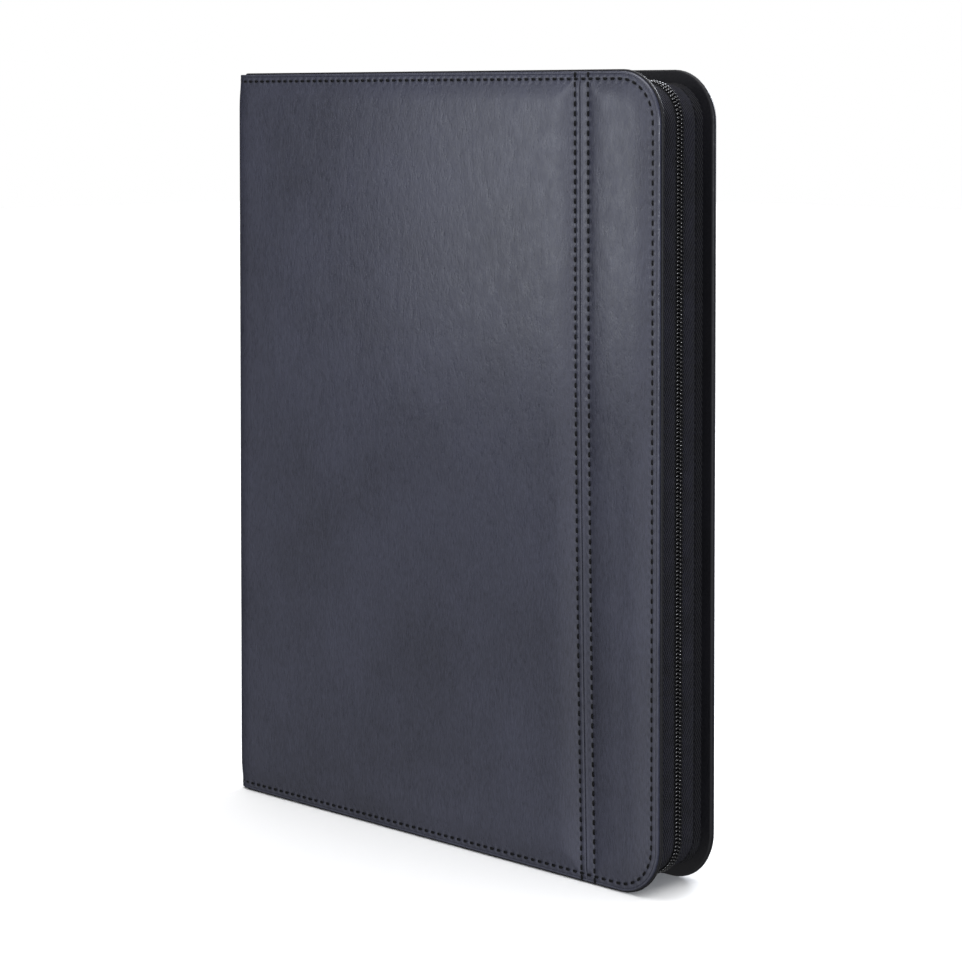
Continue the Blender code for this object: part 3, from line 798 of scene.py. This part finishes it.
# ---- Inner covers ----
def cover_outline(left):
    """The outline of a cover in XZ, with small corners at the spine and large ones opposite."""
    large, small, steps = settings().cover.fore_radius, 1.5 * MM, 12

    def arc(cx, cz, r, start, stop):
        turns = [math.radians(start + (stop - start) * i / steps) for i in range(steps + 1)]
        return [(cx + r * math.cos(t), cz + r * math.sin(t)) for t in turns]

    points = arc(left + small, small, small, 180, 270)
    points += arc(FORE_X - large, large, large, 270, 360)
    points += arc(FORE_X - large, HEIGHT - large, large, 0, 90)
    points += arc(left + small, HEIGHT - small, small, 90, 180)
    return points


def fold_strip(side):
    """Lining cloth in the inside corner between a cover and the spine."""
    path = [(9.0, 4.55), (7.0, 4.75), (5.6, 5.05), (4.7, 5.35), (3.9, 5.6), (3.5, 5.85)]
    path += [(3.45, 6.4)]
    margin, cloth = 3.0 * MM, 0.25 * MM

    def place(index, z):
        x, depth = (value * MM for value in path[index])
        outer = Vector((SPINE_X + x, side * (FACE_Y - depth), z))
        inner = Vector((SPINE_X + x - cloth, side * (FACE_Y - depth + cloth), z))
        return outer, inner, ((z, x),)

    shape = mapped_grid(list(range(len(path))), spread(margin, HEIGHT - margin, 12 * MM), place)
    close_inwards(shape)
    return shape


class BINDER_OT_inner_covers(bpy.types.Operator):
    """Makes the black inner covers, the spine's lining and the lining folds beside it."""

    bl_idname = "binder.inner_covers"
    bl_label = "Inner covers"

    def execute(self, context):
        top, outer_rim, inner_rim = settings().cover.inner_top, 0.6 * MM, 1.1 * MM
        for word, side, body in COVERS:
            rims = ((side * (FACE_Y - top), outer_rim), (side * INNER_Y, inner_rim))
            (low, low_round), (high, high_round) = sorted(rims)
            shape = slab(cover_outline(SPINE_X + 4.4 * MM), low, high, low_round, high_round)
            piece = to_object(f"{word}_inner_cover", shape, "lining", 40)
            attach(piece, body)
            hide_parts(f"{word}_lining", f"{word}_board")
            fold = to_object(f"{word}_fold_cloth", fold_strip(side), "lining", 60)
            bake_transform(fold)
        low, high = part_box("spine_lining")
        piece = to_object("spine_inner_cloth", block(low, high, 0.25 * MM, 2), "lining", 40)
        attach(piece, "spine")
        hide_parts("spine_lining")
        return {"FINISHED"}


# ---- Stitching ----
def roll_depth_at(x):
    """How far the roll at the spine has fallen below the face, at a place along X."""
    cover = settings().cover
    away = x - SPINE_X
    if away >= cover.roll_width:
        return 0.0
    share = 1 - away / cover.roll_width
    return cover.roll_depth * (1 - math.sqrt(max(0.0, 1 - share * share)))


def stitch_path():
    stitch = settings().stitch
    path = edge_path(stitch.inset, SPINE_X + stitch.from_spine)
    return path, path.total / round(path.total / stitch.pitch)


def seam_stations():
    """Heights of the stitches beside the seam."""
    margin = 2.2 * MM
    return spread(margin, HEIGHT - margin, settings().stitch.pitch)


def stitch_sizes():
    stitch = settings().stitch
    return stitch.dash / 2, stitch.thread / 2, stitch.thread * 0.36


def edge_stitches(side):
    stitch = settings().stitch
    path, step = stitch_path()
    spots = []
    for run in path.stations(step):
        spot = path.point(run, 0.0)
        depth = EDGE_DEPTH(stitch.inset) + roll_depth_at(spot.x) - THREAD_RISE
        spot.y = side * (FACE_Y - depth)
        spots.append((spot, path.frame_at(run)[0], (0, side, 0)))
    return beads(spots, stitch_sizes())


def seam_stitches():
    stitch = settings().stitch
    spots = []
    for offset in (-stitch.seam_left, stitch.seam_right):
        y = -(FACE_Y - SEAM_DEPTH(offset) + THREAD_RISE)
        spots += [((seam_x(z) + offset, y, z), (0, 0, 1), (0, -1, 0)) for z in seam_stations()]
    return beads(spots, stitch_sizes())


class BINDER_OT_stitching(bpy.types.Operator):
    """Sews the edge stitches of both covers and the topstitch lines beside the seam."""

    bl_idname = "binder.stitching"
    bl_label = "Stitching"

    def execute(self, context):
        for word, side, body in COVERS:
            piece = to_object(f"{word}_edge_stitches", edge_stitches(side), "thread")
            blend_at_fold(piece)
        piece = to_object("front_seam_stitches", seam_stitches(), "thread")
        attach(piece, "front_cover")
        return {"FINISHED"}


# ---- Zip ----
def tape_rise(reach):
    """How far the tape stands out from its recess, at a distance from the chain's middle."""
    zip_settings = settings().zip
    line = zip_settings.sewn_line
    if reach < line:
        return zip_settings.tape_bow * math.sin(math.pi * max(0.0, reach / line)) ** 0.7
    return zip_settings.flare * min(1.0, (reach - line) / (INNER_Y - line))


def tape_strip(side):
    zip_settings = settings().zip
    path = edge_path(TAPE_RECESS)
    line = zip_settings.sewn_line
    reaches = [0.9 * MM] + spread(1.5 * MM, line - 0.4 * MM, 1.4 * MM)
    reaches += [line, line + 0.4 * MM, line + 1.2 * MM, (line + INNER_Y) / 2, INNER_Y - 0.1 * MM]

    def place(run, reach):
        dip = 0.2 * MM if reach == line else 0.0
        offset = TAPE_RECESS - tape_rise(reach) + dip
        outer = path.point(run, side * reach, offset)
        inner = path.point(run, side * reach, offset + zip_settings.tape)
        return outer, inner, ((run, side * reach),)

    shape = mapped_grid(path.stations(2.5 * MM), reaches, place)
    close_inwards(shape)
    return shape


def sewn_stitches(side):
    """The line of small stitches that sews the tape to its cover."""
    pitch, half_sizes = 3.3 * MM, (1.15 * MM, 0.32 * MM, 0.26 * MM)
    y = side * settings().zip.sewn_line
    path = edge_path(TAPE_RECESS)
    spots = []
    for run in path.stations(pitch):
        along, out = path.frame_at(run)
        spots.append((path.point(run, y), along, out))
    return beads(spots, half_sizes, 6, 5)


# How far a coil element leans along the chain, for each length across it.
ELEMENT_LEAN = 0.16


def coil_half(side):
    """Rounded coil elements across the chain, half a pitch out of step with the other half."""
    zip_settings = settings().zip
    path = edge_path(COIL_FOOT + zip_settings.half_height + 0.3 * MM)
    count = round(path.total / zip_settings.pitch)
    lag = 0.25 if side < 0 else 0.75
    spots = []
    for i in range(count):
        run = path.total * (i + lag) / count
        along, out = path.frame_at(run)
        lean = Vector((0, side, 0)) + along * ELEMENT_LEAN
        lean -= out * lean.dot(out)
        spots.append((path.point(run, side * zip_settings.centre), lean, out))
    sizes = (zip_settings.half_length, zip_settings.half_width, zip_settings.half_height)
    return beads(spots, sizes, 8, 6)


def coil_cord(side):
    """The sewn cord that the elements of one side are wound on."""
    path = edge_path(COIL_FOOT)
    centre = 1.55 * MM
    half, height = 0.95 * MM, 0.45 * MM
    around = [(math.cos(t), math.sin(t)) for t in (math.pi * k / 6 for k in range(7))]

    def place(run, spot):
        y = side * (centre + half * spot[0])
        outer = path.point(run, y, TAPE_RECESS - tape_rise(centre) - height * spot[1])
        inner = path.point(run, y, TAPE_RECESS + 0.1 * MM)
        return outer, inner, ((run, y),)

    shape = mapped_grid(path.stations(3.0 * MM), around, place)
    close_inwards(shape)
    return shape


class BINDER_OT_zip(bpy.types.Operator):
    """Makes both halves of the zip: tapes, their sewn edges and the coil elements."""

    bl_idname = "binder.zip"
    bl_label = "Zip"

    def execute(self, context):
        for word, side, body in COVERS:
            tape = to_object(f"{word}_tape", tape_strip(side), "tape", 60)
            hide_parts(f"{word}_zip_tape")
            coil = to_object(f"{word}_coil", coil_half(side), "coil")
            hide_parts(f"{word}_zip_coil")
            others = (
                to_object(f"{word}_sewn_stitches", sewn_stitches(side), "thread"),
                to_object(f"{word}_coil_cord", coil_cord(side), "thread", 60),
            )
            for piece in (tape, coil, *others):
                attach(piece, body)
        return {"FINISHED"}


class BINDER_OT_slider(bpy.types.Operator):
    """Gives the slider and its pull tab their lacquered metal."""

    bl_idname = "binder.slider"
    bl_label = "Slider"

    def execute(self, context):
        for node in ("zip_slider", "zip_pull"):
            paint(node, "black_metal")
        return {"FINISHED"}


def paint(node, finish):
    """Puts a finish on a piece of the frame that is shown as it is."""
    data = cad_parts[node].data
    data.materials.clear()
    data.materials.append(finish_of(finish))


# ---- Rings ----
class BINDER_OT_rings(bpy.types.Operator):
    """Finishes the ring mechanism."""

    bl_idname = "binder.rings"
    bl_label = "Rings"

    def execute(self, context):
        for node in ("ring_base_plate", "front_ring_blade", "back_ring_blade"):
            paint(node, "steel")
        for node in ("rivet_top", "rivet_bottom", "lever_top", "lever_bottom"):
            paint(node, "nickel")
        for word in ("front", "back"):
            for level in ("top", "middle", "bottom"):
                paint(f"{word}_ring_{level}", "nickel")
        for node in ("front_zip_gusset", "back_zip_gusset"):
            paint(node, "lining")
        return {"FINISHED"}


# ---- Leaves ----
def pocket_sheet(low, high):
    """Crowned pockets with sunk welds on both sides of a leaf."""
    leaf = settings().leaf
    margin, shoulder, lift = 1.0 * MM, 1.2 * MM, 0.03 * MM
    left, right = low.x + leaf.binding, high.x - margin
    bottom, top = low.z + margin, high.z - margin
    middle = (low.y + high.y) / 2
    half = (high.y - low.y) / 2

    def cuts(start, stop, count):
        """(place, rise from 0 to 1) of the lines across a run of pockets."""
        span = (stop - start) / count
        made = []
        for k in range(count):
            base = start + k * span
            steps = ((0.0, 0.0), (leaf.weld / 2, 0.0), (leaf.weld / 2 + shoulder, 0.85))
            made += [(base + place, rise) for place, rise in steps]
            made.append((base + span / 2, 1.0))
            made += [(base + span - place, rise) for place, rise in steps[:0:-1]]
        return made + [(stop, 0.0)]

    def place(column, row):
        rise = leaf.film * min(column[1], row[1]) + lift
        outer = Vector((column[0], middle - half - rise, row[0]))
        inner = Vector((column[0], middle + half + rise, row[0]))
        return outer, inner, ((column[0], row[0]),)

    shape = mapped_grid(cuts(left, right, leaf.columns), cuts(bottom, top, leaf.rows), place)
    close_inwards(shape)
    return shape


class BINDER_OT_leaves(bpy.types.Operator):
    """Makes the pockets of each leaf, on the punched backing sheet of the frame."""

    bl_idname = "binder.leaves"
    bl_label = "Leaves"

    def execute(self, context):
        for name in sorted(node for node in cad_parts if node.startswith("leaf_")):
            paint(name, "backing")
            piece = to_object(f"{name}_pockets", pocket_sheet(*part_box(name)), "film", 30)
            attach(piece, name)
        return {"FINISHED"}


# ---- Stage ----
def area_light(name, place, aim, size, power, spread_angle, shade):
    """A rectangular light: metres, watts, and a spread in degrees."""
    lamp = bpy.data.lights.new(name, "AREA")
    lamp.shape = "RECTANGLE"
    lamp.size, lamp.size_y = size
    lamp.energy = power
    lamp.spread = math.radians(spread_angle)
    lamp.color = shade
    made = bpy.data.objects.new(name, lamp)
    made.location = place
    made.rotation_euler = (Vector(aim) - Vector(place)).to_track_quat("-Z", "Y").to_euler()
    bpy.context.scene.collection.objects.link(made)


class BINDER_OT_stage(bpy.types.Operator):
    """Sets the camera, a pale floor and soft studio light."""

    bl_idname = "binder.stage"
    bl_label = "Stage"

    def execute(self, context):
        stage = settings().stage
        scene = context.scene
        camera = bpy.data.objects.new("camera", bpy.data.cameras.new("camera"))
        camera.data.lens = stage.lens
        camera.data.sensor_width = 36.0
        camera.data.shift_y = stage.shift
        camera.data.clip_start = 0.01
        camera.location = stage.camera_place
        camera.rotation_euler = (math.pi / 2 - stage.camera_dip, 0, stage.camera_turn)
        scene.collection.objects.link(camera)
        scene.camera = camera

        shape = bmesh.new()
        bmesh.ops.create_grid(shape, x_segments=1, y_segments=1, size=6.0)
        floor = to_object("floor", shape, "floor")

        world = bpy.data.worlds.new("studio")
        world.use_nodes = True
        tree = world.node_tree
        toward = add(tree, "ShaderNodeTexCoord").outputs["Generated"]
        parts = add(tree, "ShaderNodeSeparateXYZ", {0: toward})
        # Bright before the front cover, dark towards the spine, and half bright behind.
        dim = stretch(tree, parts.outputs[1], -1.0, 0.3, 1.3, 0.03)
        dim = maths(tree, "MULTIPLY", dim, stretch(tree, parts.outputs[0], -1.0, 0.1, 0.15, 1.0))
        dim = maths(tree, "ADD", dim, stretch(tree, parts.outputs[1], 0.35, 1.0, 0.0, 0.5))
        seen = add(tree, "ShaderNodeLightPath").outputs["Is Camera Ray"]
        strength = maths(tree, "MAXIMUM", dim, seen)
        background = tree.nodes["Background"]
        background.inputs["Color"].default_value = (1.0, 1.0, 1.0, 1.0)
        tree.links.new(strength, background.inputs["Strength"])
        scene.world = world
        scene.view_settings.view_transform = "Standard"
        floor.visible_diffuse = False
        floor.visible_glossy = False
        overhead = bpy.data.lights.new("overhead", "SUN")
        overhead.energy = 3.4
        overhead.angle = math.radians(70)
        scene.collection.objects.link(bpy.data.objects.new("overhead", overhead))
        cool = (0.93, 0.97, 1.05)
        for lamp in (
            ("key_softbox", (-0.12, -0.29, 0.315), (0.125, 0, 0.315), (0.19, 0.23), 0.095, 90),
            ("side_strip", (1.3, -0.30, 0.40), (0.13, 0, 0.2), (0.06, 0.3), 8.5, 180),
            ("back_softbox", (-0.15, 1.2, 0.8), (0, 0, 0.17), (0.6, 0.6), 14.0, 180),
        ):
            area_light(*lamp, cool)
        return {"FINISHED"}


# ---- Add-on ----
OPERATORS = (
    BINDER_OT_leather,
    BINDER_OT_inner_covers,
    BINDER_OT_stitching,
    BINDER_OT_zip,
    BINDER_OT_slider,
    BINDER_OT_rings,
    BINDER_OT_leaves,
    BINDER_OT_stage,
)


class BINDER_PT_panel(bpy.types.Panel):
    """Lists the binder's building steps and settings."""

    bl_idname = "BINDER_PT_panel"
    bl_label = "Card Binder"
    bl_space_type = "VIEW_3D"
    bl_region_type = "UI"
    bl_category = "Binder"

    def draw(self, context):
        for operator in OPERATORS:
            self.layout.operator(operator.bl_idname)


CLASSES = (
    CoverSettings,
    StitchSettings,
    ZipSettings,
    LeafSettings,
    StageSettings,
    BinderLooks,
    *OPERATORS,
    BINDER_PT_panel,
)


def register():
    for item in CLASSES:
        bpy.utils.register_class(item)
    bpy.types.Scene.binder_looks = PointerProperty(type=BinderLooks)


def unregister():
    del bpy.types.Scene.binder_looks
    for item in reversed(CLASSES):
        bpy.utils.unregister_class(item)


def main():
    register()
    for operator in OPERATORS:
        group, name = operator.bl_idname.split(".")
        getattr(getattr(bpy.ops, group), name)()


if __name__ == "__main__":
    main()
